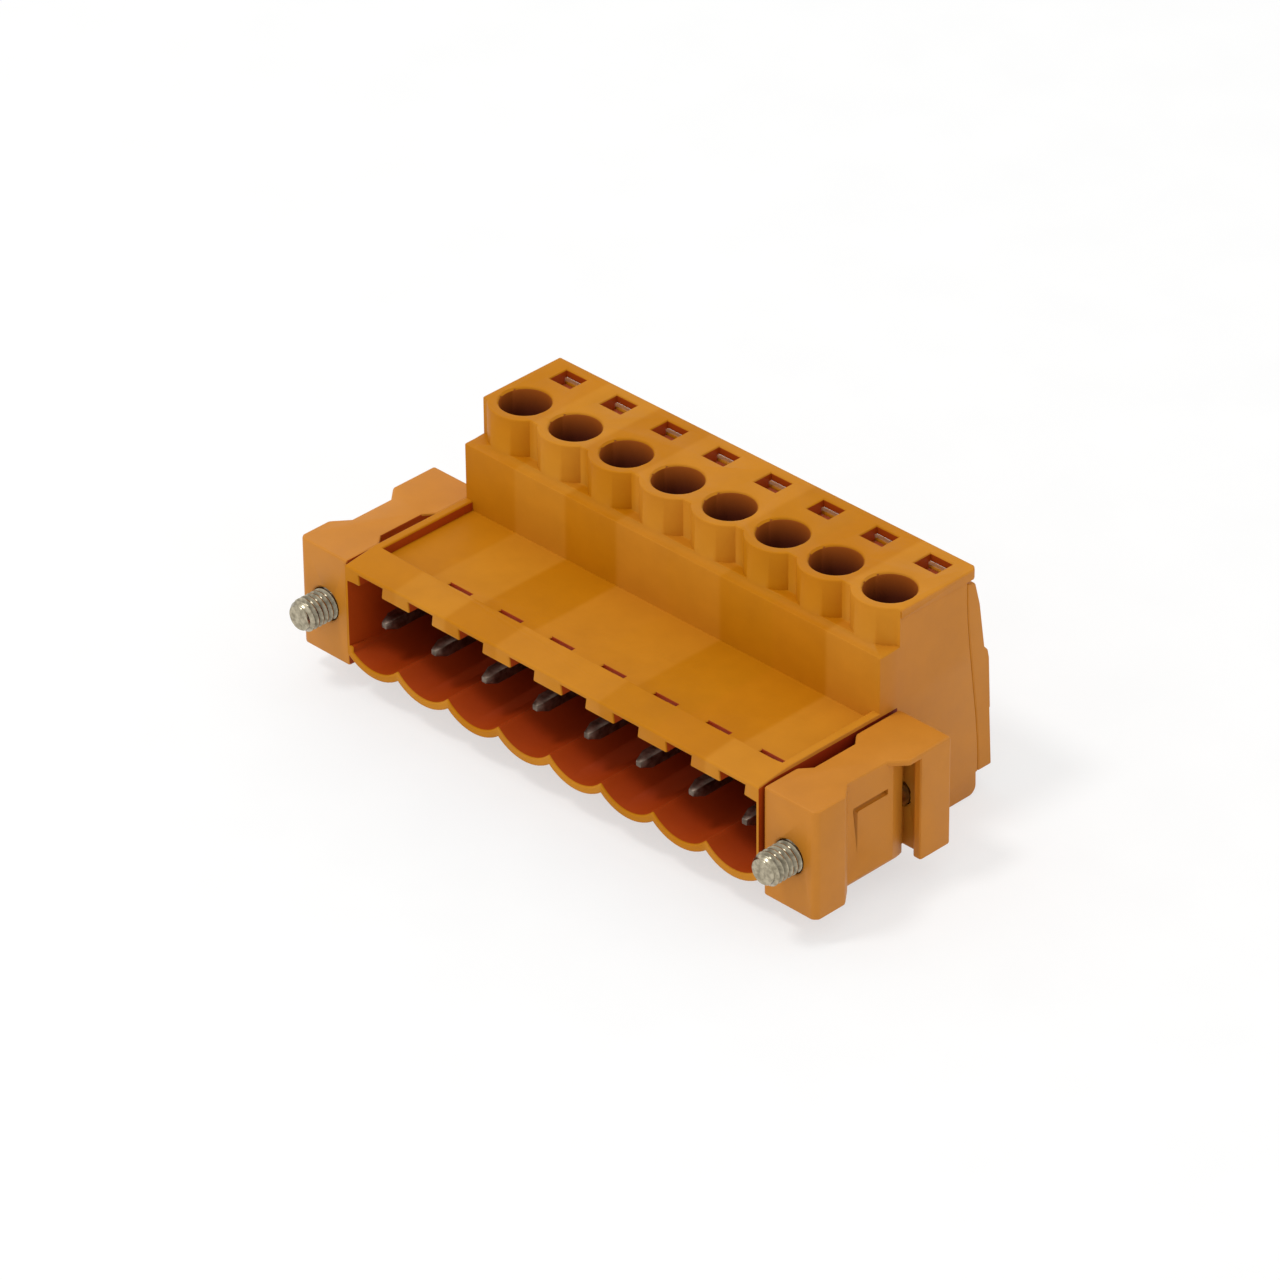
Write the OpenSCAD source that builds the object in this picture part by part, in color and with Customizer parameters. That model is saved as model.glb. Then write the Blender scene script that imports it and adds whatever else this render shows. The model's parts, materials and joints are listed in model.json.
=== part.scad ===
// Pluggable screw terminal block, inverted type: eight poles with male pins in
// a shroud, rising-yoke wire clamps in a stepped tower, and a screw flange at
// each end. Millimetres, +Z up, mating face toward -Y, wires enter from +Y.
// The origin is under the middle of the whole part, on the surface it stands on.

/* [Poles] */
// Distance from one pole to the next
pitch = 5.08; // [5:0.04:5.4]
// Wall between neighbouring clamp chambers
web_t = 0.88; // [0.8:0.02:1]

/* [Clamp tower] */
// Height of the tower over the surface it stands on
tower_h = 18.7; // [18.4:0.1:20]
// Tower's front face ahead of the screw row
tower_front = 3.65; // [3.5:0.05:4]
// Tower's top rear edge behind the screw row
tower_back = 6.05; // [5.9:0.05:6.6]
// Height of the bosses above the step they rise from
boss_h = 3; // [2:0.1:3.4]
// Bore of the screwdriver wells
well_d = 3.8; // [3.5:0.05:4]
// Wall ahead of each well
well_wall = 0.85; // [0.7:0.05:0.9]
// Flat valleys between the bosses, ahead of the screw row
valley_out = 1.7; // [1.4:0.05:2.2]
// Thickness of the top plate's lip
lip_t = 0.75; // [0.5:0.05:1]
// Overhang of the lip past the tower's ends
lip_out = 0.08; // [0.04:0.02:0.14]
// Chamfer at the top plate's rear corner over the last pole
lip_c = 0.4; // [0.2:0.05:0.6]
// Depth of the chamfer round the wells' rims
rim_c = 0.15; // [0.05:0.05:0.3]
// Width of the test wells
test_w = 2.1; // [1.6:0.1:2.4]
// Length of the test wells, front to back
test_l = 1.75; // [1.3:0.05:1.9]
// Test wells' middle behind the screw row
test_back = 4.3; // [4.1:0.05:4.4]
// Depth of the test wells
test_h = 1.1; // [0.8:0.1:2]

/* [Shroud] */
// Shroud's front edge ahead of the screw row
shroud_reach = 15.5; // [15:0.1:17]
// Height of the shroud's crest and end rails over the surface
rail_z = 11.2; // [11:0.1:12]
// Drop from the rails to the sunk top panel
panel_drop = 0.8; // [0.5:0.05:0.9]
// Width of the rails
rail_w = 0.7; // [0.5:0.05:1]
// Length of the front strip
strip_l = 2.95; // [2.6:0.05:3.6]
// Drop of the front strip from crest to front edge
strip_drop = 0.35; // [0.1:0.05:0.5]
// Thickness of the roof under the sunk panel
roof_t = 0.8; // [0.7:0.05:1]
// Thickness of the shroud's end walls
side_t = 0.5; // [0.45:0.05:0.7]
// Thickness left of the end walls at the mouth
mouth_t = 0.2; // [0.15:0.05:0.4]
// Length of the lead-in at the end walls
lead_l = 2.2; // [1.5:0.1:3]
// Lowest point of the scalloped shroud over the surface
shroud_foot = 2.4; // [2.2:0.05:2.6]
// Thickness of the scalloped floor
floor_t = 0.6; // [0.5:0.05:0.7]
// Outer radius of the scallops
scallop_r = 4; // [3.8:0.1:5]
// Back wall of the mating cavity ahead of the screw row
cavity_back = 5; // [4.6:0.1:5.6]

/* [Coding slots] */
// Width of the dovetail slots at their roof
slot_w = 2.45; // [2:0.05:2.8]
// Narrowing of the slots at their mouth
slot_dove = 0.25; // [0.1:0.05:0.4]
// Height of the slots above the cavity's ceiling
slot_h = 0.85; // [0.82:0.01:0.9]
// Length of the windows behind the crest
window_l = 1.15; // [0.8:0.05:2]

/* [Contacts] */
// Height of the pins' axis over the surface
pin_z = 6.3; // [6.2:0.05:6.5]
// Width and height of a pin
pin_w = 1; // [0.8:0.05:1.2]
// Distance of the pin tips behind the shroud's front edge
pin_set = 1.2; // [0.8:0.1:2]
// Length of the taper at a pin's tip
pin_taper = 0.9; // [0.6:0.1:1.2]
// Thickness of the current bar
bar_t = 1; // [0.9:0.05:1.1]
// Current bar's end behind the screw row
bar_back = 3.9; // [3:0.1:4.2]

/* [Clamps] */
// Diameter of the clamp screws' thread
clamp_d = 3; // [2.6:0.1:3]
// Running clearance all round the thread
thread_gap = 0.05; // [0.03:0.01:0.08]
// Clearance all round a screw head in its well
head_gap = 0.1; // [0.06:0.01:0.1]
// Height of a screw head
head_h = 1.8; // [1.4:0.1:2.2]
// Width of the driver slots
driver_w = 0.6; // [0.5:0.05:0.8]
// Depth of the driver slots
driver_h = 0.8; // [0.6:0.1:1]
// Gap between screw tip and current bar
tip_gap = 0.05; // [0.03:0.01:0.1]
// Length of a yoke, front to back
yoke_l = 4.4; // [3.8:0.1:4.4]
// Clearance of a yoke in its chamber
yoke_gap = 0.1; // [0.08:0.01:0.15]
// Thickness of a yoke's cheeks
cheek_t = 0.5; // [0.4:0.05:0.5]
// Thickness of a yoke's threaded top
yoke_top = 1.8; // [1.4:0.1:1.8]
// Thickness of a yoke's pressure plate
yoke_foot = 0.9; // [0.7:0.05:0.9]
// Wire space under the current bar with the clamp open
wire_h = 3.4; // [3:0.1:3.4]
// Rise of a yoke from open to closed
yoke_rise = 3.2; // [2.6:0.1:3.2]
// Chamber's floor below an open yoke
chamber_gap = 0.4; // [0.2:0.05:0.6]
// Screw heads' seat above the chamber
seat_h = 0.3; // [0.2:0.05:0.4]
// Chamfer at the clamp screws' tips
clamp_tip = 0.3; // [0.1:0.05:0.4]

/* [Rear cover] */
// Front of the cover's top edge ahead of the tower's rear edge
seam_in = 1; // [0.9:0.05:1.1]
// Lean of the cover's front face from top to foot
seam_lean = 1.4; // [1:0.1:1.5]
// Cover's rear foot behind the tower's rear edge
cover_out = 1.7; // [1.6:0.05:2]
// Height of the cover's foot over the surface
cover_foot = 1.7; // [1.5:0.05:1.8]
// Height of the ledge across the cover's back
ledge_z = 11.4; // [10:0.1:13]
// Depth of that ledge
ledge_d = 0.35; // [0.2:0.05:0.5]
// Gap between the cover's top and the lip
cover_gap = 0.25; // [0.15:0.05:0.4]
// Bore of the wire entries
entry_d = 3.4; // [2.8:0.1:3.6]
// Mouth of the wire entries
mouth_d = 4.5; // [4:0.1:4.8]
// Depth of the entries' funnels
funnel_h = 0.9; // [0.6:0.1:1]
// Radius of the tower's lower rear corner
heel_r = 0.7; // [0.4:0.1:1]
// Heel ahead of the cover's foot
heel_gap = 0.15; // [0.05:0.05:0.3]

/* [Flanges] */
// Gap between a flange and the housing
flange_gap = 0.2; // [0.15:0.05:0.4]
// Drop of the flange tops below the rails
flange_drop = 0.3; // [0.1:0.05:0.5]
// Reach of the flanges below the scallops
flange_sag = 0.3; // [0.05:0.05:0.4]
// Flange fronts behind the shroud's front edge
flange_set = 0.3; // [0.2:0.05:0.6]
// Flange rears ahead of the screw row
flange_rear = 1.9; // [1.7:0.1:2.3]
// Depth of the waist in a flange's outer side
waist_d = 1.05; // [0.8:0.05:1.2]
// Length of the front block at full width
block_l = 2.9; // [2.6:0.1:3.2]
// Chamfer down the front block's outer edge
block_c = 0.35; // [0.1:0.05:0.5]
// Length of the slant from the front block down to the waist
slant_l = 1.3; // [1:0.1:1.5]
// Chamfer under the waist's outer edge
waist_c = 0.45; // [0.2:0.05:0.6]
// Length of the rear rib at full width
rib_l = 2.95; // [2.8:0.05:3.2]
// Thickness of the rib's outer wall
rib_t = 0.75; // [0.6:0.05:0.9]
// Width of the deep slot ahead of the rear rib, at its mouth
gap_l = 1.7; // [1.5:0.05:1.9]
// Pocket's front wall ahead of the rib
pocket_in = 0.3; // [0.1:0.05:0.5]
// Pocket's rear wall behind the rib's front
pocket_back = 0.6; // [0.4:0.05:0.8]
// Lean of the slot's front wall
pocket_lean = 0.45; // [0.2:0.05:0.6]
// Thickness of the roof over that slot
gap_roof = 0.5; // [0.4:0.05:0.8]
// Reach of that roof ahead of the rib
roof_l = 1.15; // [0.9:0.05:1.3]
// Length of the slant from the roof's edge down to the waist
roof_slant = 1.2; // [0.9:0.05:1.4]
// Depth of the clearance in a flange's inner top edge
notch_d = 0.75; // [0.5:0.05:1]
// Height of that clearance
notch_h = 0.9; // [0.7:0.1:1.1]
// Front end of that clearance behind the flange's front
notch_in = 3.2; // [2.8:0.1:3.6]
// Length of that clearance
notch_l = 5.8; // [5.2:0.1:6.2]
// Length of its slanted ends
notch_run = 0.9; // [0.5:0.1:1.1]
// Depth of the groove round the flange's side panel
groove_d = 0.35; // [0.2:0.05:0.5]
// Width of that groove
groove_w = 0.45; // [0.25:0.05:0.5]
// Depth of the dovetail keys that carry the flanges
key_d = 0.65; // [0.5:0.05:0.65]
// Half width of a key at its root
key_w = 1; // [0.8:0.1:1.3]
// Flare of a key on each side
key_flare = 0.4; // [0.3:0.05:0.6]
// Foot of the keys above the cusps between the scallops
key_foot = 0.15; // [0.05:0.05:0.4]
// Clearance round a key
key_gap = 0.05; // [0.03:0.01:0.08]
// Foot of the side panel above the flange's underside
panel_foot = 2.6; // [1.8:0.1:3.2]
// Height of the side panel
panel_h = 3.9; // [3.2:0.1:4.2]
// Groove's start behind the waist's front
panel_in = 0.5; // [0.3:0.05:0.8]

/* [Flange screws] */
// Thread diameter of the flange screws
bolt_d = 2.5; // [2:0.1:2.6]
// Length of thread beyond the flange's front
bolt_out = 2.6; // [2.2:0.1:3.6]
// Gap between that thread and the flange's front
bolt_lift = 0.05; // [0.03:0.01:0.1]
// Diameter of the reduced shank
shank_d = 1.9; // [1.6:0.1:1.9]
// Diameter of the flange screws' heads
bolt_head_d = 3.8; // [3.4:0.1:3.9]
// Length of the flange screws' heads
bolt_head_h = 1.5; // [1.2:0.1:1.8]
// Depth of the heads' counterbore
recess_h = 2; // [1.8:0.1:2.4]
// Bore clearance all round the flange screws
bolt_gap = 0.05; // [0.03:0.01:0.08]
// Chamfer at the screws' tips
tip_chamfer = 0.4; // [0.2:0.05:0.5]
// Depth of the relief round the thread in a flange's front
relief_h = 0.4; // [0.2:0.05:0.8]

/* [Hidden] */
$fn = 48;
poles = 8;
e = 0.01;                                     // overshoot of a cut past its face
big = 60;

half = poles * pitch / 2;                     // half width of the housing
function pole_x(i) = (i - (poles - 1) / 2) * pitch;

step_z = tower_h - boss_h;                    // top of the step
boss_r = well_d / 2 + well_wall;

panel_z = rail_z - panel_drop;
ceiling_z = panel_z - roof_t;                 // ceiling of the mating cavity
front_y = -shroud_reach;
crest_y = front_y + strip_l;
scallop_z = shroud_foot + scallop_r;          // height of the scallops' centres
cusp_z = scallop_z - sqrt(scallop_r * scallop_r - pitch * pitch / 4);
bowl_r = scallop_r - floor_t;
bowl_z = scallop_z - sqrt(bowl_r * bowl_r - pitch * pitch / 4);

chamber_w = pitch - web_t;
chamber_y = -yoke_l / 2 - yoke_gap;           // chamber's front wall
bar_top = pin_z + bar_t / 2;
bar_low = pin_z - bar_t / 2;
yoke_w = chamber_w - 2 * yoke_gap;
window_w = yoke_w - 2 * cheek_t;
bar_w = window_w - 2 * yoke_gap;
yoke_z = bar_low - wire_h - yoke_foot;        // underside of an open yoke
yoke_h = yoke_foot + wire_h + bar_t + yoke_gap + yoke_top;
chamber_z = yoke_z - chamber_gap;             // chamber's floor
chamber_top = yoke_z + yoke_h + yoke_rise + yoke_gap;
tip_z = bar_top + tip_gap;
head_z = chamber_top + seat_h;                  // underside of a screw head
head_d = well_d - 2 * head_gap;

// The cover's front face is an S between its top and foot.
seam_top = tower_h - lip_t - cover_gap;
seam_n = 10;
function seam_t(z) = (seam_top - z) / (seam_top - cover_foot);
function seam_y(z) = tower_back - seam_in
    + seam_lean * seam_t(z) * seam_t(z) * (3 - 2 * seam_t(z));
seam = [for (i = [0:seam_n]) let (z = seam_top + (cover_foot - seam_top) * i / seam_n)
        [seam_y(z), z]];
cover_y = tower_back + cover_out;             // rear foot of the cover
heel_y = seam_y(cover_foot) - heel_gap;
entry_z = bar_low - wire_h / 2;               // height of the wire entries

flange_x = half + flange_gap;
flange_out = half + pitch;
flange_z = shroud_foot - flange_sag;
flange_top = rail_z - flange_drop;
flange_y = front_y + flange_set;
waist_x = flange_out - waist_d;
waist_front = flange_y + block_l + slant_l;
rib_y = -flange_rear - rib_l;                 // front of the rear rib
waist_back = rib_y - gap_l;
roof_y = rib_y - roof_l;                      // front of the roof at full width
key_y = (waist_front + waist_back) / 2;
key_z0 = cusp_z + key_foot;
key_z1 = flange_top - notch_h - 0.5;
bolt_x = half + pitch / 2;
recess_y = -flange_rear - recess_h;           // seat of the screw head
head_y = -recess_y - bolt_lift;               // underside of that head, ahead of the screw row
thread_y = -flange_y + bolt_lift;             // rear end of the thread, likewise

y_mid = (cover_y + flange_y - bolt_out) / 2;

plastic = "#c8822f";
nickel = "#b9b4a6";
tin = "#c9c7c0";
steel = "#a8a49a";

// Puts a piece drawn about the screw row into the part's frame.
module place() { translate([0, -y_mid, 0]) children(); }
// Extrudes an outline drawn in (y, z) along X, centred.
module along_x(w) {
    translate([-w / 2, 0, 0]) rotate([90, 0, 90]) linear_extrude(w) children();
}
// Extrudes an outline drawn in (x, z) from y0 to y1.
module along_y(y0, y1) {
    translate([0, y1, 0]) rotate([90, 0, 0]) linear_extrude(y1 - y0) children();
}
module poles_do() { for (i = [0:poles - 1]) translate([pole_x(i), 0, 0]) children(); }
// One pole's scallop down to its lowest point, as an outline in (x, z).
module scallops(r, z_cusp, w_half, z_top) {
    union() {
        translate([-w_half, z_cusp + 0.3]) square([2 * w_half, z_top - z_cusp - 0.3]);
        intersection() {
            for (i = [0:poles - 1]) translate([pole_x(i), 0]) intersection() {
                translate([0, scallop_z]) circle(r, $fn = 64);
                translate([-pitch / 2, 0]) square([pitch, z_cusp + 0.4]);
            }
            translate([-w_half, 0]) square([2 * w_half, z_top]);
        }
    }
}

// ---- Housing: tower and shroud, one moulding -------------------------------
module tower_plan() {
    intersection() {
        union() {
            translate([-half, -valley_out]) square([2 * half, tower_back + valley_out]);
            for (i = [0:poles - 1]) translate([pole_x(i), 0]) circle(boss_r, $fn = 96);
        }
        translate([-half, -tower_front]) square([2 * half, tower_front + tower_back]);
    }
}
module tower_side() {
    union() {
        polygon(concat([[-tower_front, 0], [heel_y - heel_r, 0], [heel_y, heel_r], [heel_y, cover_foot]],
                       [for (i = [seam_n:-1:0]) seam[i]],
                       [[tower_back - seam_in, tower_h], [-tower_front, tower_h]]));
        translate([heel_y - heel_r, heel_r]) circle(heel_r);
    }
}
module shroud_side() {
    polygon([[-tower_front + e, shroud_foot - e], [front_y, shroud_foot - e],
             [front_y, rail_z - strip_drop], [crest_y, rail_z], [-tower_front + e, rail_z]]);
}
module key(g) {
    wide = key_w + key_flare;
    polygon([[half - 1, -key_w - g], [half, -key_w - g], [half + key_d + g, -wide - g],
             [half + key_d + g, wide + g], [half, key_w + g], [half - 1, key_w + g]]);
}
module housing() color(plastic) place() difference() {
    union() {
        intersection() {
            along_x(2 * half) tower_side();
            union() {
                translate([-half, -tower_front, 0]) cube([2 * half, big, step_z]);
                linear_extrude(tower_h) tower_plan();
            }
        }
        // Top plate with its proud lip.
        translate([0, 0, tower_h - lip_t]) linear_extrude(lip_t)
            polygon([[-half - lip_out, lip_out - valley_out], [half + lip_out, lip_out - valley_out],
                     [half + lip_out, tower_back - lip_c], [half + lip_out - lip_c, tower_back],
                     [-half - lip_out, tower_back]]);
        intersection() {
            along_x(2 * half) shroud_side();
            along_y(front_y, -tower_front + e) scallops(scallop_r, cusp_z, half, rail_z);
        }
        // Dovetail keys that carry the flanges.
        for (s = [0, 1]) mirror([s, 0, 0]) translate([0, key_y, key_z0])
            linear_extrude(key_z1 - key_z0) difference() {
                key(0);
                translate([0, -5]) square([half - e, 10]);
            }
    }
    // Sunk panel between the rails.
    translate([-half + rail_w, crest_y, panel_z])
        cube([2 * (half - rail_w), -tower_front - crest_y, big]);
    // Mating cavity, with a lead-in at both ends.
    along_y(front_y - 1, -cavity_back) scallops(bowl_r, bowl_z, half - side_t, ceiling_z);
    for (s = [0, 1]) mirror([s, 0, 0]) translate([0, 0, bowl_z]) linear_extrude(ceiling_z - bowl_z)
        polygon([[half - side_t - 1, front_y - e], [half - mouth_t, front_y - e],
                 [half - side_t, front_y + lead_l], [half - side_t - 1, front_y + lead_l]]);
    // Dovetail coding slots; behind the crest they break through the panel.
    poles_do() along_y(front_y - 1, crest_y - e)
        polygon([[-slot_w / 2 + slot_dove / 2, ceiling_z - 0.2], [slot_w / 2 - slot_dove / 2, ceiling_z - 0.2],
                 [slot_w / 2, ceiling_z + slot_h], [-slot_w / 2, ceiling_z + slot_h]]);
    for (i = [1:poles - 1]) translate([pole_x(i) - slot_w / 2 + slot_dove / 2, crest_y - 2 * e, ceiling_z - 0.2])
        cube([slot_w - slot_dove, window_l, panel_drop + roof_t + 1]);
    // Screwdriver wells with a broken rim, and test wells.
    poles_do() {
        translate([0, 0, chamber_top - e]) cylinder(d = well_d, h = big);
        translate([0, 0, tower_h - rim_c]) cylinder(d1 = well_d, d2 = well_d + 2.6 * rim_c, h = 1.3 * rim_c);
        translate([-test_w / 2, test_back - test_l / 2, tower_h - test_h]) cube([test_w, test_l, big]);
        // Clamp chamber, open at the back, and the pin's passage.
        translate([-chamber_w / 2, chamber_y, chamber_z]) cube([chamber_w, big, chamber_top - chamber_z]);
        translate([-pin_w / 2, -cavity_back - 1, pin_z - pin_w / 2]) cube([pin_w, cavity_back, pin_w]);
    }
}

// ---- Rear cover with the wire entries --------------------------------------
module rear_cover() color(plastic) place() difference() {
    along_x(2 * half) polygon(concat(seam,
        [[cover_y, cover_foot],
         [tower_back + cover_out - 0.1, cover_foot + (ledge_z - cover_foot) * 0.5],
         [tower_back + 0.9 + ledge_d + 0.15, ledge_z - 0.7],
         [tower_back + 0.9 + ledge_d, ledge_z],
         [tower_back + 0.9, ledge_z + 0.4],
         [tower_back + 0.35, (ledge_z + seam_top) / 2 + 1],
         [tower_back - 0.15, seam_top - 0.25]]));
    poles_do() translate([0, cover_y, entry_z]) rotate([90, 0, 0]) {
        translate([0, 0, -1]) cylinder(d = entry_d, h = big);
        translate([0, 0, -e]) cylinder(d1 = mouth_d, d2 = entry_d, h = funnel_h);
    }
}

// ---- Contacts: pin and current bar in one piece ----------------------------
module contact(i) color(tin) place() translate([pole_x(i), 0, 0]) {
    w = pin_w / 2;
    tip = front_y + pin_set;
    union() {
        translate([-bar_w / 2, chamber_y, bar_low]) cube([bar_w, bar_back - chamber_y, bar_t]);
        intersection() {
            translate([0, 0, pin_z - w]) linear_extrude(pin_w)
                polygon([[-w, chamber_y + e], [-w, tip + pin_taper], [-w * 0.45, tip],
                         [w * 0.45, tip], [w, tip + pin_taper], [w, chamber_y + e]]);
            along_x(pin_w) polygon([[chamber_y + e, pin_z - w], [tip + pin_taper, pin_z - w], [tip, pin_z - w * 0.45],
                         [tip, pin_z + w * 0.45], [tip + pin_taper, pin_z + w], [chamber_y + e, pin_z + w]]);
        }
    }
}

// ---- Clamps: rising yoke and its screw -------------------------------------
module clamp_yoke(i) color(steel) place() translate([pole_x(i), 0, yoke_z]) difference() {
    translate([-yoke_w / 2, -yoke_l / 2, 0]) cube([yoke_w, yoke_l, yoke_h]);
    translate([-window_w / 2, -yoke_l / 2 - 1, yoke_foot])
        cube([window_w, yoke_l + 2, yoke_h - yoke_foot - yoke_top]);
    translate([0, 0, yoke_foot + 1]) cylinder(d = clamp_d + 2 * thread_gap, h = yoke_h);
}
module clamp_screw(i) color(nickel) place() translate([pole_x(i), 0, 0]) difference() {
    union() {
        translate([0, 0, tip_z + clamp_tip]) cylinder(d = clamp_d, h = head_z - tip_z);
        translate([0, 0, tip_z]) cylinder(d1 = clamp_d - 2 * clamp_tip, d2 = clamp_d, h = clamp_tip);
        translate([0, 0, head_z]) cylinder(d = head_d, h = head_h);
    }
    translate([-driver_w / 2, -big / 2, head_z + head_h - driver_h]) cube([driver_w, big, big]);
}

// ---- Flanges, one the mirror image of the other ----------------------------
module flange() difference() {
    translate([0, 0, flange_z]) linear_extrude(flange_top - flange_z)
        polygon([[flange_x, flange_y], [flange_out - block_c, flange_y], [flange_out, flange_y + block_c],
                 [flange_out, flange_y + block_l], [waist_x, waist_front], [waist_x, roof_y - roof_slant],
                 [flange_out, roof_y], [flange_out, -flange_rear], [flange_x, -flange_rear]]);
    // Deep slot ahead of the rear rib, under its roof, where the screw's shank shows.
    translate([0, 0, flange_z - 1]) linear_extrude(flange_top - gap_roof - flange_z + 1)
        polygon([[waist_x, roof_y - roof_slant], [waist_x, waist_back],
                 [waist_x - pocket_lean, rib_y - pocket_in], [bolt_x + 0.3, rib_y - pocket_in],
                 [bolt_x + 0.3, rib_y + pocket_back], [flange_out - rib_t, rib_y + pocket_back],
                 [flange_out - rib_t, rib_y], [flange_out + 1, rib_y], [flange_out + 1, roof_y - roof_slant]]);
    // Chamfer under the waist.
    along_y(waist_front, rib_y - pocket_in)
        polygon([[waist_x - waist_c - e, flange_z - e], [waist_x + e, flange_z - e], [waist_x + e, flange_z + waist_c + e]]);
    // Clearance in the inner top edge.
    translate([0, flange_y + notch_in, flange_top - notch_h]) linear_extrude(big)
        polygon([[flange_x - 1, 0], [flange_x, 0], [flange_x + notch_d, notch_run],
                 [flange_x + notch_d, notch_l - notch_run], [flange_x, notch_l], [flange_x - 1, notch_l]]);
    // Groove above the side panel, and one ahead of it that runs out downward.
    translate([waist_x - groove_d, waist_front + panel_in, flange_z + panel_foot]) rotate([90, 0, 90])
        linear_extrude(big) union() {
            translate([0, panel_h - groove_w]) square([waist_back - waist_front - 2 * panel_in, groove_w]);
            polygon([[groove_w, 0], [groove_w, panel_h - groove_w / 2], [0, panel_h - groove_w / 2]]);
        }
    // Dovetail groove over the housing's key.
    translate([0, key_y, flange_z - 1]) linear_extrude(key_z1 + key_gap - flange_z + 1) key(key_gap);
    // Bore and counterbore of the captive screw, whose thread is too wide to go back.
    translate([bolt_x, 0, pin_z]) rotate([90, 0, 0]) {
        cylinder(d = shank_d + 2 * bolt_gap, h = big);
        cylinder(d = bolt_head_d + 2 * bolt_gap, h = -recess_y);
        translate([0, 0, -flange_y - relief_h]) cylinder(d = bolt_d + 2 * bolt_gap, h = relief_h + 1);
    }
}
module flange_left() color(plastic) place() mirror([1, 0, 0]) flange();
module flange_right() color(plastic) place() flange();

module flange_screw(s) color(nickel) place() translate([s * bolt_x, 0, pin_z]) rotate([90, 0, 0])
    difference() {
        union() {
            translate([0, 0, head_y - bolt_head_h]) cylinder(d = bolt_head_d, h = bolt_head_h);
            translate([0, 0, head_y - 0.5]) cylinder(d = shank_d, h = thread_y - head_y + 1);
            translate([0, 0, thread_y]) cylinder(d = bolt_d, h = bolt_out - tip_chamfer - flange_y - thread_y);
            translate([0, 0, -flange_y + bolt_out - tip_chamfer])
                cylinder(d1 = bolt_d, d2 = bolt_d - 2 * tip_chamfer * 0.75, h = tip_chamfer);
        }
        translate([-driver_w / 2, -big / 2, head_y - bolt_head_h - big + driver_h]) cube([driver_w, big, big]);
    }

housing();
rear_cover();
flange_left();
flange_right();
flange_screw(-1);  // flange_screw_left
flange_screw(1);  // flange_screw_right
contact(0);  // contact_1
contact(1);  // contact_2
contact(2);  // contact_3
contact(3);  // contact_4
contact(4);  // contact_5
contact(5);  // contact_6
contact(6);  // contact_7
contact(7);  // contact_8
clamp_yoke(0);  // clamp_yoke_1
clamp_yoke(1);  // clamp_yoke_2
clamp_yoke(2);  // clamp_yoke_3
clamp_yoke(3);  // clamp_yoke_4
clamp_yoke(4);  // clamp_yoke_5
clamp_yoke(5);  // clamp_yoke_6
clamp_yoke(6);  // clamp_yoke_7
clamp_yoke(7);  // clamp_yoke_8
clamp_screw(0);  // clamp_screw_1
clamp_screw(1);  // clamp_screw_2
clamp_screw(2);  // clamp_screw_3
clamp_screw(3);  // clamp_screw_4
clamp_screw(4);  // clamp_screw_5
clamp_screw(5);  // clamp_screw_6
clamp_screw(6);  // clamp_screw_7
clamp_screw(7);  // clamp_screw_8
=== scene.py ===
# %% [markdown]
# # Pluggable screw terminal block, eight poles, with screw flanges
#
# The block is an orange moulding in two halves: a shroud with eight pins in
# front, which slides over a socket header, and a clamp tower behind it, where
# a screwdriver comes down one round well for each wire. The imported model
# already has the true shape of every solid. This lesson dresses it: it breaks
# the moulded edges, cuts real threads on the screws and gives each piece the
# finish it has in the hand.

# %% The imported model
import json
from math import atan2, cos, hypot, pi, radians, sin

import bmesh
import bpy
import numpy as np
from mathutils import Matrix, Vector
from mathutils.bvhtree import BVHTree


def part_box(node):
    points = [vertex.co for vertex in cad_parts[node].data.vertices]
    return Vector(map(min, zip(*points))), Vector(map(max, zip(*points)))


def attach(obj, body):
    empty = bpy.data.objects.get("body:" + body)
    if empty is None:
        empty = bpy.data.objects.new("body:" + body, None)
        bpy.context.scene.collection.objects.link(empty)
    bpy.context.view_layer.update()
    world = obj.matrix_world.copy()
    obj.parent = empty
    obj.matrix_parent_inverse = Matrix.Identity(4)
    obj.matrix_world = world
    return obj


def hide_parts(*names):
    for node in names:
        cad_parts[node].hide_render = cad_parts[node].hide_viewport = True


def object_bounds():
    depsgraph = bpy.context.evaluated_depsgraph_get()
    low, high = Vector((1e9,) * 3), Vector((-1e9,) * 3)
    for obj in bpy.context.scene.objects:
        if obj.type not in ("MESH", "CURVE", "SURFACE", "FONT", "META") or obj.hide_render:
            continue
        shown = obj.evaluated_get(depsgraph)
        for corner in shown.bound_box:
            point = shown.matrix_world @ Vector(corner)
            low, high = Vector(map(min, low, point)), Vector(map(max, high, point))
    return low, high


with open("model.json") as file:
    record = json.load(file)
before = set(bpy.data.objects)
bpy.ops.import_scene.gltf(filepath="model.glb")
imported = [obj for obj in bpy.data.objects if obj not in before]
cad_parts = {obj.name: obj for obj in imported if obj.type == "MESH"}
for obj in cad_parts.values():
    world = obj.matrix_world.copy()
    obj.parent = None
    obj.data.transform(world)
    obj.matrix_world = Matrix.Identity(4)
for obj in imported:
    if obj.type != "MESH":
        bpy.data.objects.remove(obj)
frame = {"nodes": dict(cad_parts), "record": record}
cad_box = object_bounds()
MM = 0.001
print("packed nodes:", len(frame["nodes"]))

# %% [markdown]
# ## Sizes read from the solids
#
# The pole pitch, the screw axes and the ends of the threads come from the
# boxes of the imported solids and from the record, so a change in the
# construction moves the dressing with it. Smaller things are typed, such as
# the widths of the rounds, the thread pitches, the clamp screws' radius and
# head, and the margins that mark out inner walls.

# %% Sizes
POLES = range(1, 9)


def middle(node):
    low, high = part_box(node)
    return (low + high) / 2


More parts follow.
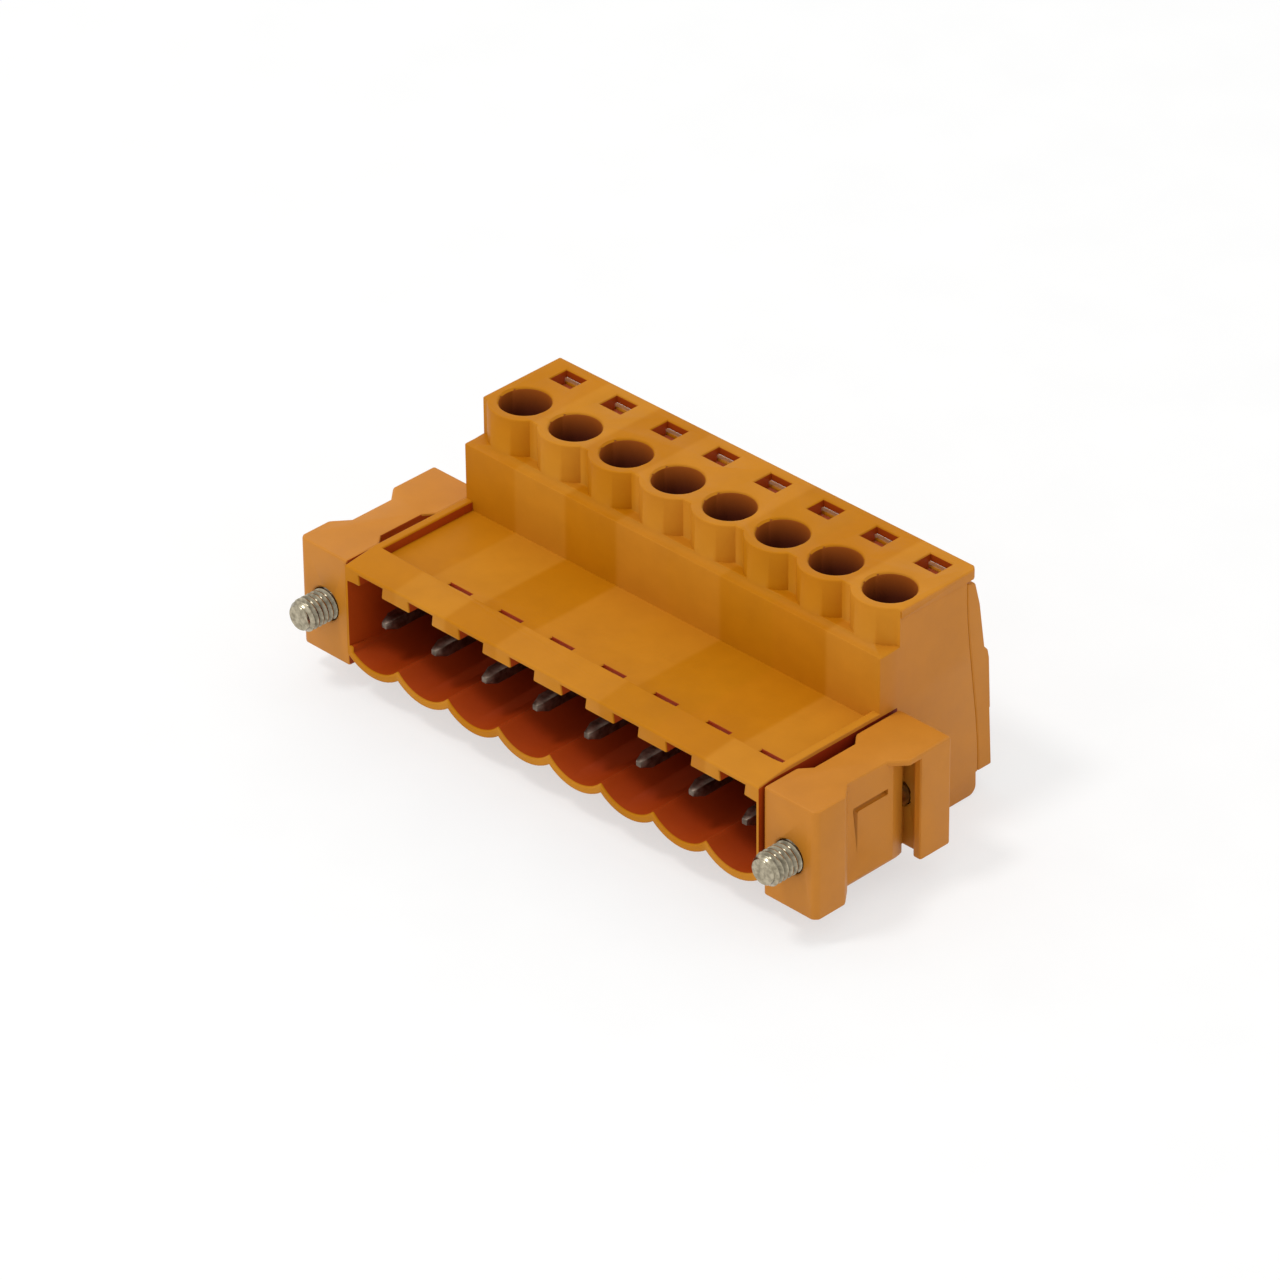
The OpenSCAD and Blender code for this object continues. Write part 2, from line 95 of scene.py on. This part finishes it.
PITCH = (middle("contact_8").x - middle("contact_1").x) / (len(POLES) - 1)
HALF_ROW = len(POLES) / 2 * PITCH
ROW_Y = middle("clamp_screw_1").y
print("pitch: %.2f mm" % (PITCH / MM))

# %% [markdown]
# ## A node helper for the finishes
#
# Every finish below is a small network. One function adds a node, sets it up
# and links its inputs, so that a network reads as a list of its nodes. Colours
# are written as they look on a screen, in hex, and are turned to the linear
# values that the renderer works with.


# %% Helpers for the finishes
def linear(code):
    parts = [int(code[i:i + 2], 16) / 255 for i in (1, 3, 5)]
    return [c / 12.92 if c <= 0.04045 else ((c + 0.055) / 1.055) ** 2.4 for c in parts] + [1.0]


def add(tree, kind, inputs=None, **settings):
    made = tree.nodes.new("ShaderNode" + kind)
    for key, value in settings.items():
        setattr(made, key, value)
    for key, value in (inputs or {}).items():
        if isinstance(value, bpy.types.NodeSocket):
            tree.links.new(value, made.inputs[key])
        else:
            made.inputs[key].default_value = value
    return made


def finish(name):
    material = bpy.data.materials.new(name)
    material.use_nodes = True
    material.node_tree.nodes.clear()
    return material, material.node_tree


def stops(ramp, pairs):
    while len(ramp.elements) > 1:
        ramp.elements.remove(ramp.elements[0])
    ramp.elements[0].position, ramp.elements[0].color = pairs[0][0], linear(pairs[0][1])
    for place, code in pairs[1:]:
        ramp.elements.new(place).color = linear(code)


def seen_ray(tree):
    """1 for rays that come from the camera, straight or by way of gloss or glass, else 0."""
    rays = add(tree, "LightPath").outputs
    seen = rays["Is Camera Ray"]
    for other in ("Is Glossy Ray", "Is Transmission Ray"):
        seen = add(tree, "Math", {0: seen, 1: rays[other]}, operation="MAXIMUM").outputs[0]
    return seen


# %% [markdown]
# ## Orange polyester, injection moulded
#
# The housing is PBT, a hard polyester that is moulded in an eroded steel
# tool. The tool leaves a very fine satin grain, so the gloss is broad and
# dim. The real block is faintly banded, pole by pole, where the tool's
# inserts differ in polish. A ramp along X gives each pole its tone, with a
# soft step between them. Flow marks are drawn about 3 mm wide, and the grain
# 0.15 mm wide, coarser than life so that it still shows.
#
# The plastic lets a little light in. Where walls face each other, light goes
# from one to the next and each bounce keeps the red and loses the green, so
# the shroud, the wells and the thin gaps look deep red. That bounced light and
# shade are painted onto those walls: the same grain with a ramp of reds, darker
# from the mouth inward in the shroud and darker towards the bottom in the wells
# and gaps.


# %% Moulded polyester
FLOW, GRAIN = 3.0 * MM, 0.15 * MM
SOFT_STEP = 0.035
SATIN = (0.42, 0.54)
POLE_TONES = ["#BD770C", "#C37F1C", "#BA7406", "#C27D1C",
              "#C27D1A", "#BA7508", "#BC750A", "#C5801F"]
PLAIN_TONES = ["#C67F24", "#C37C22"]
# Painted shade: ramps of reds that stand in for light bounced between the inner walls, darker
# deeper in.
SHROUD_PAINTED_SHADE = [(0.0, "#A8400C"), (0.25, "#9C350A"), (1.0, "#7A220C")]
WELL_PAINTED_SHADE = [(0.0, "#42191A"), (0.5, "#682E1A"), (1.0, "#AC5A18")]
GAP_PAINTED_SHADE = [(0.0, "#9A3A0A"), (1.0, "#A8440C")]
WELL_SHADE = 4 * MM


def moulded_polyester(name, tones, axis="X", span=None, gloss_level=0.07):
    material, tree = finish(name)
    place = add(tree, "TexCoord").outputs["Object"]
    along = add(tree, "SeparateXYZ", {0: place}).outputs[axis]
    low, high = span or (-HALF_ROW, HALF_ROW)
    across = add(tree, "MapRange", {0: along, 1: low, 2: high}).outputs[0]
    tone = add(tree, "ValToRGB", {0: across})
    if axis == "X":
        tones = [((i + side) / len(tones), code)
                 for i, code in enumerate(tones) for side in (SOFT_STEP, 1 - SOFT_STEP)]
    stops(tone.color_ramp, tones)
    flow = add(tree, "TexNoise", {"Vector": place, "Scale": 1 / FLOW,
                                  "Detail": 4.0, "Roughness": 0.6})
    mottle = add(tree, "ValToRGB", {0: flow.outputs[0]})
    stops(mottle.color_ramp, [(0.3, "#F4F2EE"), (0.7, "#FFFFFF")])
    mixed = add(tree, "Mix", {0: 1.0, 6: tone.outputs["Color"], 7: mottle.outputs["Color"]},
                data_type="RGBA", blend_type="MULTIPLY")
    grain = add(tree, "TexNoise", {"Vector": place, "Scale": 1 / GRAIN, "Detail": 2.0})
    gloss = add(tree, "MapRange", {0: flow.outputs[0], 3: SATIN[0], 4: SATIN[1]}).outputs[0]
    bump = add(tree, "Bump", {"Strength": 0.12, "Distance": 0.02 * MM,
                              "Height": grain.outputs[0]})
    shader = add(tree, "BsdfPrincipled", {
        "Base Color": mixed.outputs[2], "Roughness": gloss, "IOR": 1.57,
        "Specular IOR Level": gloss_level, "Normal": bump.outputs[0]})
    add(tree, "OutputMaterial", {"Surface": shader.outputs[0]})
    return material


cavity = next(o["box_m"] for o in frame["record"]["physics"]["openings"]
              if o["name"].startswith("mating_gap"))
(_, MOUTH_Y, _), (_, BACK_Y, CEILING_Z) = cavity
TOP_Z = cad_box[1][2]
housing_plastic = moulded_polyester("moulded_polyester_banded", POLE_TONES)
plain_plastic = moulded_polyester("moulded_polyester_plain", PLAIN_TONES, gloss_level=0.2)
# Painted shade for the inner walls of the shroud, the wells and the gaps.
shroud_painted_shade = moulded_polyester("polyester_painted_shade_shroud", SHROUD_PAINTED_SHADE,
                                   "Y", (MOUTH_Y, BACK_Y), 0.1)
well_painted_shade = moulded_polyester("polyester_painted_shade_wells", WELL_PAINTED_SHADE,
                                 "Z", (TOP_Z - WELL_SHADE, TOP_Z), 0.15)
gap_painted_shade = moulded_polyester("polyester_painted_shade_gaps", GAP_PAINTED_SHADE, "Z", (0, TOP_Z), 0.15)
print("shroud: %.1f mm deep" % ((BACK_Y - MOUTH_Y) / MM))

# %% [markdown]
# ## Plated metals
#
# The screws are steel with a thin, slightly yellow zinc plate. The pins have
# a dull tin plate over copper, and the yokes are pressed steel with a bluer
# zinc. All of them are metals, so their colour is in the reflection, and what
# tells them apart is how rough that reflection is. The flange screws have a
# finish of their own, with painted shade that darkens the thread roots where
# the screw hides its own light. Tiny variations, a few tenths of a millimetre
# wide, keep the metal from looking drawn.


# %% Plated metals
def plated(name, light, dark, smooth, rough, patch, root_shade=None):
    material, tree = finish(name)
    place = add(tree, "TexCoord").outputs["Object"]
    cloud = add(tree, "TexNoise", {"Vector": place, "Scale": 1 / patch, "Detail": 3.0})
    tone = add(tree, "ValToRGB", {0: cloud.outputs[0]})
    stops(tone.color_ramp, [(0.35, dark), (0.65, light)])
    colour = tone.outputs["Color"]
    # Painted shade: the colour darkens where the openness attribute shows the screw hiding its own
    # light.
    if root_shade:
        openness = add(tree, "Attribute", attribute_name="openness").outputs["Fac"]
        root_shade_ramp = add(tree, "ValToRGB", {0: openness})
        stops(root_shade_ramp.color_ramp, [(0.15, root_shade), (0.85, "#FFFFFF")])
        colour = add(tree, "Mix", {0: 1.0, 6: colour, 7: root_shade_ramp.outputs["Color"]},
                     data_type="RGBA", blend_type="MULTIPLY").outputs[2]
    gloss = add(tree, "MapRange", {0: cloud.outputs[0], 3: smooth, 4: rough}).outputs[0]
    pits = add(tree, "TexNoise", {"Vector": place, "Scale": 8 / patch, "Detail": 2.0})
    bump = add(tree, "Bump", {"Strength": 0.1, "Distance": 0.01 * MM, "Height": pits.outputs[0]})
    shader = add(tree, "BsdfPrincipled", {
        "Base Color": colour, "Roughness": gloss, "Metallic": 1.0, "Normal": bump.outputs[0]})
    add(tree, "OutputMaterial", {"Surface": shader.outputs[0]})
    return material


# 2A2118 is painted shade for the thread roots of the flange screws.
thread_zinc = plated("zinc_plated_rolled_thread", "#BCB29A", "#8E8570", 0.16, 0.3, 0.4 * MM,
                     "#2A2118")
screw_zinc = plated("zinc_plated_steel", "#A8A08C", "#857C6A", 0.2, 0.34, 0.4 * MM)
pin_tin = plated("tin_plated_copper", "#83766A", "#5A4E44", 0.34, 0.48, 0.5 * MM)
yoke_zinc = plated("zinc_plated_pressing", "#B4B4B0", "#8E8E8C", 0.3, 0.42, 0.6 * MM)
print("finishes:", screw_zinc.name, pin_tin.name, yoke_zinc.name)

# %% [markdown]
# ## From solid to piece
#
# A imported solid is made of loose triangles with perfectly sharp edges, and
# no moulding or turned part has those. A copy of it is merged, its flat
# faces are joined up again, and the edges that have room get a small round.
# Edges on walls thinner than the round are left as they are, because a bevel
# wider than its wall would fold over. The rounded copy then stands for the
# solid.


# %% Merging, rounding and handing over a piece
FAR, TINY = 1.0, 1e-7


def merged_copy(node):
    bm = bmesh.new()
    bm.from_mesh(frame["nodes"][node].data)
    bmesh.ops.remove_doubles(bm, verts=bm.verts, dist=0.0002 * MM)
    bmesh.ops.dissolve_limit(bm, angle_limit=radians(0.6), use_dissolve_boundaries=False,
                             verts=bm.verts, edges=bm.edges, delimit={"NORMAL"})
    return bm


def flat_borders(bm):
    """Gives each face the border of its flat region, as two arrays of edge ends."""
    borders = {}
    same_plane = cos(radians(1))
    for seed in bm.faces:
        if seed in borders:
            continue
        group, queue = {seed}, [seed]
        while queue:
            here = queue.pop()
            for edge in here.edges:
                for face in edge.link_faces:
                    if face not in group and face.normal.dot(here.normal) > same_plane:
                        group.add(face)
                        queue.append(face)
        rim = [e for f in group for e in f.edges if sum(g in group for g in e.link_faces) == 1]
        ends = np.array([[v.co[:] for v in e.verts] for e in rim])
        borders.update(dict.fromkeys(group, (ends[:, 0], ends[:, 1])))
    return borders


def room(edge, borders):
    """How far the faces beside an edge reach before their next border, square to the edge."""
    least = FAR
    for loop in edge.link_loops:
        start, end = np.array(loop.vert.co), np.array(loop.link_loop_next.vert.co)
        length = np.linalg.norm(end - start)
        along = (end - start) / length
        inward = np.cross(loop.face.normal, along)
        first, last = borders[loop.face]
        touch = np.zeros(len(first), bool)
        for tip in (first, last):
            for corner in (start, end):
                touch |= np.linalg.norm(tip - corner, axis=1) < TINY
        ends = np.stack([first - start, last - start])
        u, v = ends @ along, ends @ inward
        span = np.where(np.abs(u[1] - u[0]) < 1e-9, 1e-9, u[1] - u[0])
        low, high = np.clip((0 - u[0]) / span, 0, 1), np.clip((length - u[0]) / span, 0, 1)
        near = np.minimum(v[0] + low * (v[1] - v[0]), v[0] + high * (v[1] - v[0]))
        beside = ((np.maximum(u[0], u[1]) > 0.05 * length)
                  & (np.minimum(u[0], u[1]) < 0.95 * length))
        near = near[beside & ~touch & (near > TINY)]
        least = min(least, near.min() if len(near) else FAR)
    return least


def rounded(bm, width, segments=2, sharp=32):
    borders, needed = flat_borders(bm), 2.2 * width
    edges = {e for e in bm.edges if len(e.link_faces) == 2 and e.is_convex
             and e.calc_face_angle(0) > radians(sharp) and room(e, borders) > needed}
    bmesh.ops.bevel(bm, geom=list(edges), offset=width, offset_type="OFFSET", segments=segments,
                    profile=0.5, affect="EDGES", material=-1, clamp_overlap=False,
                    loop_slide=False, miter_outer="SHARP", miter_inner="SHARP")
    return len(edges)


def hand_over(bm, name, body, materials, nodes, smooth=25):
    mesh = bpy.data.meshes.new(name)
    bm.to_mesh(mesh)
    bm.free()
    mesh.shade_smooth()
    mesh.set_sharp_from_angle(angle=radians(smooth))
    for material in materials:
        mesh.materials.append(material)
    piece = bpy.data.objects.new(name, mesh)
    bpy.context.scene.collection.objects.link(piece)
    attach(piece, body)
    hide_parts(*nodes)
    return piece


# %% [markdown]
# ## The four mouldings
#
# Housing, rear cover and both flanges come out of polished tools with edges
# broken by about a tenth of a millimetre. That thin round is what catches
# the light along every rim of the wells and along the step.
#
# Inside the shroud, the wells and the slits beside the flanges, light has
# met orange walls again and again. Those faces get painted shade, redder and
# darker finishes that stand in for that bounced light, found by where they lie
# and which way they face. The end walls, like the flanges, take the plain
# finish without bands.

# %% Walls that see only other walls
WELL_R = 1.95 * MM
RIM = 0.12 * MM
gap_low, gap_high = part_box("flange_right")


def off_pole(at):
    """How far a point lies from the middle of its pole, along the row."""
    return (at.x + HALF_ROW) % PITCH - PITCH / 2


def inside_shroud(at, facing):
    floor_or_wall = facing.z > -0.2 and at.z < CEILING_Z
    roof_or_slot = facing.z < 0.5 and CEILING_Z - 0.3 * MM < at.z < CEILING_Z + 0.9 * MM
    behind_mouth = MOUTH_Y + 0.15 * MM < at.y < BACK_Y + 0.1 * MM
    return (floor_or_wall or roof_or_slot) and behind_mouth and abs(at.x) < HALF_ROW


def inside_well(at, facing):
    return CEILING_Z < at.z < TOP_Z - RIM and hypot(off_pole(at), at.y - ROW_Y) < WELL_R


def beside_flange(at, facing):
    end_wall = HALF_ROW - 0.1 * MM < abs(at.x) < HALF_ROW + 0.3 * MM and abs(facing.x) > 0.9
    return end_wall and at.y < gap_high.y and gap_low.z < at.z < gap_high.z - 0.1 * MM


def left_rail(at, facing):
    inner_wall = facing.x > 0.9 and at.x < -HALF_ROW + 0.8 * MM
    return inner_wall and at.z > CEILING_Z + 0.8 * MM and at.y < ROW_Y


def flange_notch(at, facing):
    across = HALF_ROW + 0.3 * MM < abs(at.x) < HALF_ROW + 1.1 * MM
    below_top = at.z > gap_high.z - 1.0 * MM and (
        abs(facing.z) < 0.3 or at.z < gap_high.z - 0.8 * MM)
    return across and below_top and ROW_Y - 12.2 * MM < at.y < ROW_Y - 6 * MM


def test_well(at, facing):
    inside = abs(off_pole(at)) < 1.1 * MM and 3.3 * MM < at.y - ROW_Y < 5.3 * MM
    return inside and TOP_Z - 1.3 * MM < at.z < TOP_Z - RIM


def in_gap(at, facing):
    return any(rule(at, facing) for rule in (beside_flange, left_rail, flange_notch, test_well))


def at_the_ends(at, facing):
    return abs(facing.x) > 0.7 and abs(at.x) > HALF_ROW - 0.1 * MM


def split_beside_flanges(bm):
    """Cuts the end walls along the flanges' outlines, so the covered part can have its finish."""
    for point, normal in (((0, gap_high.y, 0), (0, 1, 0)), ((0, 0, gap_high.z), (0, 0, 1)),
                          ((0, 0, gap_low.z), (0, 0, 1))):
        ends = [f for f in bm.faces if abs(f.normal.x) > 0.99
                and abs(f.calc_center_median().x) > HALF_ROW - 0.1 * MM]
        edges, verts = {e for f in ends for e in f.edges}, {v for f in ends for v in f.verts}
        bmesh.ops.bisect_plane(bm, geom=ends + list(edges) + list(verts), dist=TINY,
                               plane_co=point, plane_no=normal)


# The first three rules pick the faces that get painted shade; the last picks the plain end walls.
RULES = (inside_shroud, inside_well, in_gap, at_the_ends)


def tint_inner_walls(bm):
    """Gives each face the slot of the first rule that holds, or leaves it in slot 0."""
    counts = [0] * len(RULES)
    for face in bm.faces:
        at, facing = face.calc_center_median(), face.normal
        for index, rule in enumerate(RULES, 1):
            if rule(at, facing):
                face.material_index = index
                counts[index - 1] += 1
                break
    return counts


print("walls with a finish of their own:", [rule.__name__ for rule in RULES])

# %% [markdown]
# ## Dressing the mouldings
#
# Each moulding has five finishes in the same order as the rules: its own,
# then the painted shade of the shroud, the wells and the gaps, then the plain
# finish of the ends. The housing's end walls are cut along the flanges first,
# which leaves their shape as it is.

# %% Mouldings
MOULDINGS = [("housing", 0.12 * MM, housing_plastic), ("rear_cover", 0.15 * MM, housing_plastic),
             ("flange_left", 0.16 * MM, plain_plastic), ("flange_right", 0.16 * MM, plain_plastic)]
for node, width, own in MOULDINGS:
    bm = merged_copy(node)
    count = rounded(bm, width)
    if node == "housing":
        split_beside_flanges(bm)
    print(node, "inner walls and ends:", tint_inner_walls(bm))
    print(node, "edges rounded:", count, "faces:", len(bm.faces))
    hand_over(bm, "moulded_" + node, "block",
              [own, shroud_painted_shade, well_painted_shade, gap_painted_shade, plain_plastic], [node])

# %% [markdown]
# ## Threads
#
# A thread is one pitch of its outline, turned round the axis while it climbs
# by one pitch a turn. The spin operator does both at once. Where one turn
# ends the next begins, so merging doubles welds them into a single helix.
# Two flat cuts trim it to length, and the ends are filled. At the tip the
# crests are drawn in to a cone, as a rolled thread's are.


# %% Thread helper
TURN_STEPS = 36
THREAD_DEPTH = 0.6


def cut_short(bm, point, normal):
    """Keeps what lies behind the plane and closes the cut."""
    cut = bmesh.ops.bisect_plane(bm, geom=bm.verts[:] + bm.edges[:] + bm.faces[:], dist=1e-8,
                                 plane_co=point, plane_no=normal, clear_outer=True)
    rim = [g for g in cut["geom_cut"] if isinstance(g, bmesh.types.BMEdge)]
    bmesh.ops.edgeloop_fill(bm, edges=rim)


def helix(radius, pitch, length, chamfer):
    """A thread that stands on the XY plane and points up, with its tip coned."""
    bm = bmesh.new()
    root, crest = radius - THREAD_DEPTH * pitch, radius
    outline = [(root, 0.0), (root, 0.14 * pitch), (crest, 0.46 * pitch), (crest, 0.6 * pitch),
               (root, 0.92 * pitch), (root, pitch)]
    verts = [bm.verts.new((r, 0, z - pitch)) for r, z in outline]
    edges = [bm.edges.new(pair) for pair in zip(verts, verts[1:])]
    turns = int(length / pitch) + 3
    bmesh.ops.spin(bm, geom=verts + edges, cent=(0, 0, 0), axis=(0, 0, 1),
                   dvec=(0, 0, pitch / TURN_STEPS), angle=2 * pi * turns,
                   steps=TURN_STEPS * turns, use_merge=False,
                   use_normal_flip=False, use_duplicate=False)
    bmesh.ops.remove_doubles(bm, verts=bm.verts, dist=0.0005 * MM)
    cut_short(bm, (0, 0, 0.0), (0, 0, -1))
    cut_short(bm, (0, 0, length), (0, 0, 1))
    for v in bm.verts:
        reach = radius - max(0.0, v.co.z - (length - chamfer)) * 0.75
        here = hypot(v.co.x, v.co.y)
        if here > reach:
            v.co.x, v.co.y = v.co.x * reach / here, v.co.y * reach / here
    bmesh.ops.recalc_face_normals(bm, faces=bm.faces)
    return bm


def joined(bm, other, matrix):
    """Adds another bmesh, moved by the matrix, and frees it."""
    mesh = bpy.data.meshes.new("passing")
    other.transform(matrix)
    other.to_mesh(mesh)
    other.free()
    bm.from_mesh(mesh)
    bpy.data.meshes.remove(mesh)


print("steps in a turn:", TURN_STEPS)

# %% [markdown]
# ## Painted shade in the thread roots
#
# The thread's roots are painted darker than its crests, as shade. For each
# corner of each face a fan of rays goes out over the face, and the share that
# leaves the screw without meeting it again is kept on the corner. The finish
# turns a small share into painted shade.

# %% Openness
GOLDEN_ANGLE = pi * (3 - 5 ** 0.5)


def fan(count):
    rings = [((k + 0.5) / count, k * GOLDEN_ANGLE) for k in range(count)]
    return [Vector((r ** 0.5 * cos(a), r ** 0.5 * sin(a), (1 - r) ** 0.5)) for r, a in rings]


def measure_openness(bm, count=12):
    walls, rays = BVHTree.FromBMesh(bm), fan(count)
    layer = bm.loops.layers.float.new("openness")
    for face in bm.faces:
        turn, centre = face.normal.to_track_quat("Z", "Y").to_matrix(), face.calc_center_median()
        turned = [turn @ ray for ray in rays]
        for loop in face.loops:
            eye = loop.vert.co.lerp(centre, 0.1) + face.normal * 0.005 * MM
            loop[layer] = sum(walls.ray_cast(eye, ray)[0] is None for ray in turned) / count


# %% [markdown]
# ## Flange screws
#
# One captive M2.5 screw sits in each flange, with a coarse 0.45 mm thread
# standing out of the front and a slotted head in the counterbore behind.
# The head and shank come from the solid, which is cut off where the thread
# starts, and the helix takes over from there.

# %% Flange screws
M25_PITCH, SUNK = 0.45 * MM, 0.3 * MM
mounts = {m["name"]: m for m in frame["record"]["mounts"]}
for side in ("left", "right"):
    node = "flange_screw_" + side
    thread, face = mounts["flange_thread_" + side], mounts["flange_face_" + side]
    low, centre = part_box(node)[0], middle(node)
    radius, half_length = thread["dims"]["r_mm"] * MM, thread["dims"]["length_mm"] * MM / 2
    start = face["pos_m"][1] + SUNK
    cone = thread["pos_m"][1] - half_length - low.y
    bm = merged_copy(node)
    cut_short(bm, (0, start, 0), (0, -1, 0))
    rounded(bm, 0.12 * MM)
    screw = helix(radius, M25_PITCH, start - low.y, cone)
    turn = Matrix.Translation((centre.x, start, centre.z)) @ Matrix.Rotation(pi / 2, 4, "X")
    joined(bm, screw, turn)
    measure_openness(bm)
    piece = hand_over(bm, "captive_" + node, "bolt_" + side,
                      [thread_zinc], [node], 30)
    print(piece.name, "faces:", len(piece.data.polygons))

# %% [markdown]
# ## Clamp screws
#
# Under each well a slotted screw with a cheese head turns in its seat. Its
# thread is 0.5 mm a turn and draws the yoke up, which squeezes the wire
# against the current bar. The head is a rounded copy of the solid's head.

# %% Clamp screws
M3_PITCH, M3_R, TIP_CONE, HEAD_H = 0.5 * MM, 1.5 * MM, 0.3 * MM, 1.8 * MM
for pole in POLES:
    node = "clamp_screw_%d" % pole
    low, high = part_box(node)
    bm = merged_copy(node)
    seat = high.z - HEAD_H
    cut_short(bm, (0, 0, seat + 0.0001 * MM), (0, 0, -1))
    rounded(bm, 0.15 * MM)
    stem = helix(M3_R, M3_PITCH, seat - low.z, TIP_CONE)
    centre = middle(node)
    down = Matrix.Translation((centre.x, centre.y, seat)) @ Matrix.Rotation(pi, 4, "X")
    joined(bm, stem, down)
    hand_over(bm, "turned_" + node, "screw_%d" % pole,
              [screw_zinc], [node], 30)
print("clamp screws dressed:", len(POLES))

# %% [markdown]
# ## Pins and yokes
#
# The pins are stamped from flat strip and plated afterwards, so their long
# edges are slightly round. The yokes are pressed and tapped blocks.

# %% Pins and yokes
for pole in POLES:
    pin = merged_copy("contact_%d" % pole)
    rounded(pin, 0.06 * MM)
    hand_over(pin, "plated_contact_%d" % pole, "block",
              [pin_tin], ["contact_%d" % pole])
    yoke = merged_copy("clamp_yoke_%d" % pole)
    rounded(yoke, 0.1 * MM)
    hand_over(yoke, "pressed_yoke_%d" % pole, "yoke_%d" % pole,
              [yoke_zinc], ["clamp_yoke_%d" % pole])
print("pins and yokes dressed:", 2 * len(POLES))

# %% [markdown]
# ## Table
#
# The block stands on white paper. The paper's finish gains some light where
# the camera sees it, straight or in a reflection, so that the white
# background stays white while the block's shadow still shows.


# %% Table
CAMERA_SHARE = 0.6
TABLE_HALF, CLEARANCE = 1.2, 0.01 * MM


def pale_table():
    material, tree = finish("white_paper_table")
    place = add(tree, "TexCoord").outputs["Object"]
    fibre = add(tree, "TexNoise", {"Vector": place, "Scale": 1 / (8 * MM), "Detail": 3.0})
    tone = add(tree, "ValToRGB", {0: fibre.outputs[0]})
    stops(tone.color_ramp, [(0.3, "#F3F3F2"), (0.7, "#F7F7F6")])
    paper = add(tree, "BsdfPrincipled", {"Base Color": tone.outputs["Color"], "Roughness": 0.9,
                                         "Specular IOR Level": 0.1})
    share = add(tree, "Math", {0: seen_ray(tree), 1: CAMERA_SHARE}, operation="MULTIPLY")
    white = add(tree, "Emission", {"Color": (1, 1, 1, 1), "Strength": 1.0})
    both = add(tree, "MixShader", {0: share.outputs[0], 1: paper.outputs[0],
                                   2: white.outputs[0]})
    add(tree, "OutputMaterial", {"Surface": both.outputs[0]})
    return material


bm = bmesh.new()
bmesh.ops.create_grid(bm, x_segments=1, y_segments=1, size=TABLE_HALF,
                      matrix=Matrix.Translation((0, 0, cad_box[0][2] - CLEARANCE)))
table_mesh = bpy.data.meshes.new("table")
bm.to_mesh(table_mesh)
bm.free()
table_mesh.materials.append(pale_table())
table = bpy.data.objects.new("table", table_mesh)
bpy.context.scene.collection.objects.link(table)

print("table: %.1f m wide" % (2 * TABLE_HALF))

# %% [markdown]
# ## Light
#
# Pale walls stand all round like a tent, and one soft lamp hangs above, a
# little to the front. Such light shows the true colours and leaves only a
# faint shadow. The tent is a touch brighter as the camera sees it, straight
# or in a reflection, than it is as a light on the block. That keeps the
# background white and the plastic rich.

# %% Light
TENT = 0.86
LAMP_AT, LAMP_AIM = Vector((-0.1, -0.24, 0.55)), Vector((0, 0, 0.01))
LAMP_SIZE, LAMP_WATTS = 0.12, 1.1
world = bpy.data.worlds.new("light_tent")
bpy.context.scene.world = world
world.use_nodes = True
walls = world.node_tree
walls.nodes.clear()
lift = add(walls, "Math", {0: seen_ray(walls), 1: 1 - TENT}, operation="MULTIPLY")
strength = add(walls, "Math", {0: lift.outputs[0], 1: TENT}, operation="ADD")
tent = add(walls, "Background", {"Color": (1, 1, 1, 1), "Strength": strength.outputs[0]})
add(walls, "OutputWorld", {"Surface": tent.outputs[0]})
lamp = bpy.data.lights.new("top_lamp", "AREA")
lamp.shape, lamp.size, lamp.energy = "DISK", LAMP_SIZE, LAMP_WATTS
holder = bpy.data.objects.new("top_lamp", lamp)
bpy.context.scene.collection.objects.link(holder)
holder.location = LAMP_AT
holder.rotation_euler = (LAMP_AIM - LAMP_AT).to_track_quat("-Z", "Y").to_euler()
print("light tent and lamp are up")

# %% [markdown]
# ## Camera
#
# A long lens from the front right and above, about half a metre away, keeps
# the block's parallel edges nearly parallel.

# %% Camera
AZ, EL, ROLL = radians(45.205), radians(32.628), radians(-0.571)
LENS, SENSOR = 211.314, 36.0
CAMERA_AT = Vector((313.0166, -317.2104, 291.8208)) * MM + Vector((0, ROW_Y, 0))
back = Vector((sin(AZ) * cos(EL), -cos(AZ) * cos(EL), sin(EL)))
right = Vector((cos(AZ), sin(AZ), 0))
up = back.cross(right)
right, up = cos(ROLL) * right + sin(ROLL) * up, -sin(ROLL) * right + cos(ROLL) * up
camera = bpy.data.objects.new("camera", bpy.data.cameras.new("camera"))
camera.data.lens, camera.data.sensor_width = LENS, SENSOR
camera.data.clip_start, camera.data.clip_end = 0.01, 10.0
turned = Matrix((right, up, back)).transposed().to_4x4()
camera.matrix_world = Matrix.Translation(CAMERA_AT) @ turned
bpy.context.scene.collection.objects.link(camera)
bpy.context.scene.camera = camera
bpy.context.scene.view_settings.view_transform = "Standard"
print("camera distance: %.0f mm" % (CAMERA_AT.length / MM))
